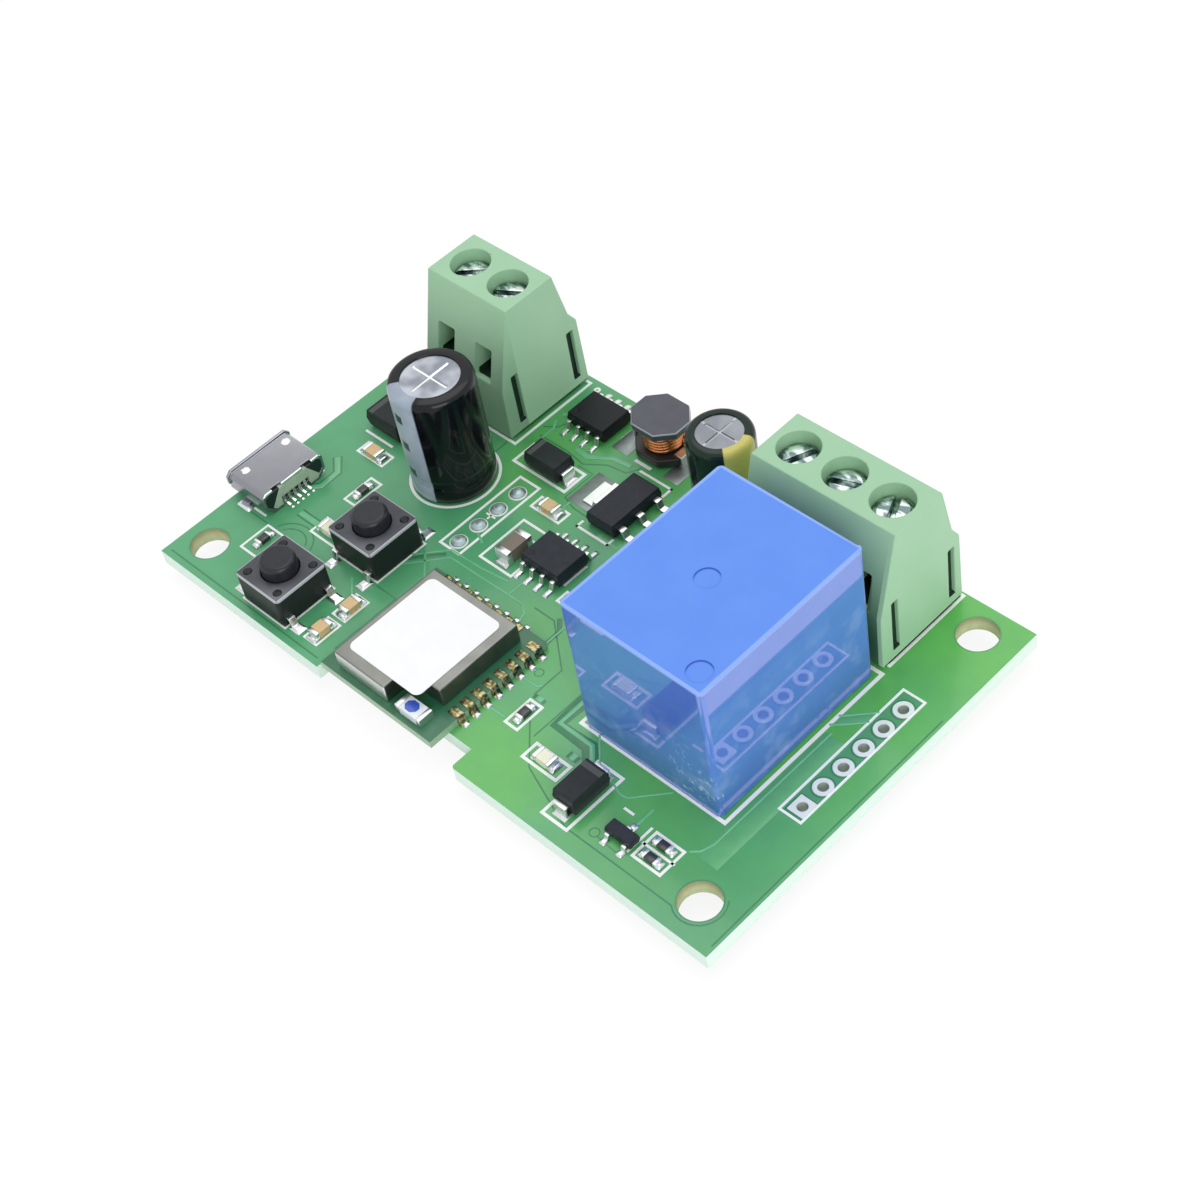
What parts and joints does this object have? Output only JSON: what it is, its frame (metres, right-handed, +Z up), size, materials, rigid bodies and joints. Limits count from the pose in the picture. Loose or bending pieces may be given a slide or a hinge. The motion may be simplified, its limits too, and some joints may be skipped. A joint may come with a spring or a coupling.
{
  "type": "smart relay module",
  "caption": "Wi-Fi relay board: radio module with shield, cube relay, screw terminal blocks with rising clamps, micro USB power, push buttons and a pin header row.",
  "frame": {"origin": "centre of the four mounting holes, on the underside of the board", "axes": "+X along the board, from the USB socket to the pin header; +Y from the antenna edge to the screw terminals; +Z up out of the board's top"},
  "size_m": [0.0703, 0.0413, 0.0189],
  "materials": {
    "board_green": "green solder mask with white printed outlines over pale glass laminate",
    "tinned": "bright tin and solder",
    "steel_shell": "nickel-plated steel",
    "pale_insert": "pale moulded insert",
    "gold_contacts": "gold-plated contacts",
    "switch_base": "black moulded base",
    "switch_cover": "dark satin cover plate",
    "switch_plunger": "black smooth plunger",
    "aluminium_can": "bright drawn aluminium",
    "black_sleeve": "glossy black sleeve with a pale stripe",
    "dark_sleeve": "glossy dark green sleeve with a yellow band",
    "bung_rubber": "black rubber",
    "ferrite": "dark grey ferrite",
    "copper_wire": "enamelled copper",
    "moulding_compound": "black moulding compound",
    "ceramic_tan": "fired ceramic, tan",
    "resistor_black": "black glazed resistor body",
    "light_lens": "clear lens over a white base",
    "module_green": "dark green solder mask",
    "dark_gold": "gold-plated half-hole pads with solder",
    "shield_metal": "nickel-silver shield with a plain white label",
    "antenna_ceramic": "white glazed ceramic",
    "relay_base_blue": "dark blue moulded base",
    "relay_blue": "glossy blue moulded cover",
    "bobbin_ivory": "ivory moulded spool",
    "soft_iron": "plated soft iron",
    "terminal_green": "pale green moulded housing",
    "screw_steel": "zinc-plated steel",
    "cage_brass": "nickel-plated brass cage"
  },
  "bodies": {
    "module": {"circuit_board": "board_green", "header_pads": "tinned", "solder_joints": "tinned", "usb_shell": "steel_shell", "usb_tongue": "pale_insert", "usb_contacts": "gold_contacts", "button_1_base": "switch_base", "button_1_cover": "switch_cover", "button_2_base": "switch_base", "button_2_cover": "switch_cover", "button_1_dome": "steel_shell", "button_2_dome": "steel_shell", "button_legs": "tinned", "input_capacitor_can": "aluminium_can", "input_capacitor_sleeve": "black_sleeve", "output_capacitor_can": "aluminium_can", "output_capacitor_sleeve": "dark_sleeve", "capacitor_bungs": "bung_rubber", "capacitor_leads": "tinned", "inductor_core": "ferrite", "inductor_winding": "copper_wire", "inductor_clips": "tinned", "eight_lead_chips": "moulding_compound", "regulator_body": "moulding_compound", "diode_bodies": "moulding_compound", "transistor_body": "moulding_compound", "component_leads": "tinned", "chip_resistors": "resistor_black", "chip_capacitors": "ceramic_tan", "chip_end_caps": "tinned", "status_lights": "light_lens", "wifi_board": "module_green", "wifi_pads": "dark_gold", "wifi_chips": "moulding_compound", "wifi_shield": "shield_metal", "wifi_antenna": "antenna_ceramic", "relay_base": "relay_base_blue", "relay_cover": "relay_blue", "relay_bobbin": "bobbin_ivory", "relay_coil": "copper_wire", "relay_core": "soft_iron", "relay_yoke": "soft_iron", "relay_terminals": "gold_contacts", "input_terminal_block": "terminal_green", "load_terminal_block": "terminal_green", "terminal_contacts": "tinned"},
    "button_1": {"button_1_plunger": "switch_plunger"},
    "button_2": {"button_2_plunger": "switch_plunger"},
    "armature": {"relay_armature": "soft_iron", "relay_contact_spring": "copper_wire"},
    "input_clamp_screw_1": {"input_screw_1": "screw_steel"},
    "input_clamp_cage_1": {"input_cage_1": "cage_brass"},
    "input_clamp_screw_2": {"input_screw_2": "screw_steel"},
    "input_clamp_cage_2": {"input_cage_2": "cage_brass"},
    "load_clamp_screw_1": {"load_screw_1": "screw_steel"},
    "load_clamp_cage_1": {"load_cage_1": "cage_brass"},
    "load_clamp_screw_2": {"load_screw_2": "screw_steel"},
    "load_clamp_cage_2": {"load_cage_2": "cage_brass"},
    "load_clamp_screw_3": {"load_screw_3": "screw_steel"},
    "load_clamp_cage_3": {"load_cage_3": "cage_brass"}
  },
  "joints": [
    {"name": "press_button_1", "type": "slide", "parent": "module", "child": "button_1", "axis": [0, 0, -1], "range_m": [0, 0.00025], "stiffness_N_per_m": 2000, "springref_m": -0.0002, "deforming": ["button_1_dome"]},
    {"name": "press_button_2", "type": "slide", "parent": "module", "child": "button_2", "axis": [0, 0, -1], "range_m": [0, 0.00025], "stiffness_N_per_m": 2000, "springref_m": -0.0002, "deforming": ["button_2_dome"]},
    {"name": "relay_armature_hinge", "type": "hinge", "parent": "module", "child": "armature", "pos_m": [0.01965, -0.00835, 0.0125], "axis": [-1, 0, 0], "range_deg": [0, 3], "stiffness_Nm_per_rad": 0.02, "springref_deg": -8.59},
    {"name": "input_screw_1_turn", "type": "hinge", "parent": "module", "child": "input_clamp_screw_1", "pos_m": [-0.0258, 0.0149, 0.0131], "axis": [0, 0, -1], "range_deg": [0, 2016]},
    {"name": "input_cage_1_rise", "type": "slide", "parent": "module", "child": "input_clamp_cage_1", "axis": [0, 0, 1], "range_m": [0, 0.0028]},
    {"name": "input_screw_2_turn", "type": "hinge", "parent": "module", "child": "input_clamp_screw_2", "pos_m": [-0.02072, 0.0149, 0.0131], "axis": [0, 0, -1], "range_deg": [0, 2016]},
    {"name": "input_cage_2_rise", "type": "slide", "parent": "module", "child": "input_clamp_cage_2", "axis": [0, 0, 1], "range_m": [0, 0.0028]},
    {"name": "load_screw_1_turn", "type": "hinge", "parent": "module", "child": "load_clamp_screw_1", "pos_m": [0.0149, 0.0149, 0.0131], "axis": [0, 0, -1], "range_deg": [0, 2016]},
    {"name": "load_cage_1_rise", "type": "slide", "parent": "module", "child": "load_clamp_cage_1", "axis": [0, 0, 1], "range_m": [0, 0.0028]},
    {"name": "load_screw_2_turn", "type": "hinge", "parent": "module", "child": "load_clamp_screw_2", "pos_m": [0.01998, 0.0149, 0.0131], "axis": [0, 0, -1], "range_deg": [0, 2016]},
    {"name": "load_cage_2_rise", "type": "slide", "parent": "module", "child": "load_clamp_cage_2", "axis": [0, 0, 1], "range_m": [0, 0.0028]},
    {"name": "load_screw_3_turn", "type": "hinge", "parent": "module", "child": "load_clamp_screw_3", "pos_m": [0.02506, 0.0149, 0.0131], "axis": [0, 0, -1], "range_deg": [0, 2016]},
    {"name": "load_cage_3_rise", "type": "slide", "parent": "module", "child": "load_clamp_cage_3", "axis": [0, 0, 1], "range_m": [0, 0.0028]}
  ],
  "couplings": [
    {"joint": "input_screw_1_turn", "follows": "input_cage_1_rise", "rad_per_m": 12566},
    {"joint": "input_screw_2_turn", "follows": "input_cage_2_rise", "rad_per_m": 12566},
    {"joint": "load_screw_1_turn", "follows": "load_cage_1_rise", "rad_per_m": 12566},
    {"joint": "load_screw_2_turn", "follows": "load_cage_2_rise", "rad_per_m": 12566},
    {"joint": "load_screw_3_turn", "follows": "load_cage_3_rise", "rad_per_m": 12566}
  ]
}
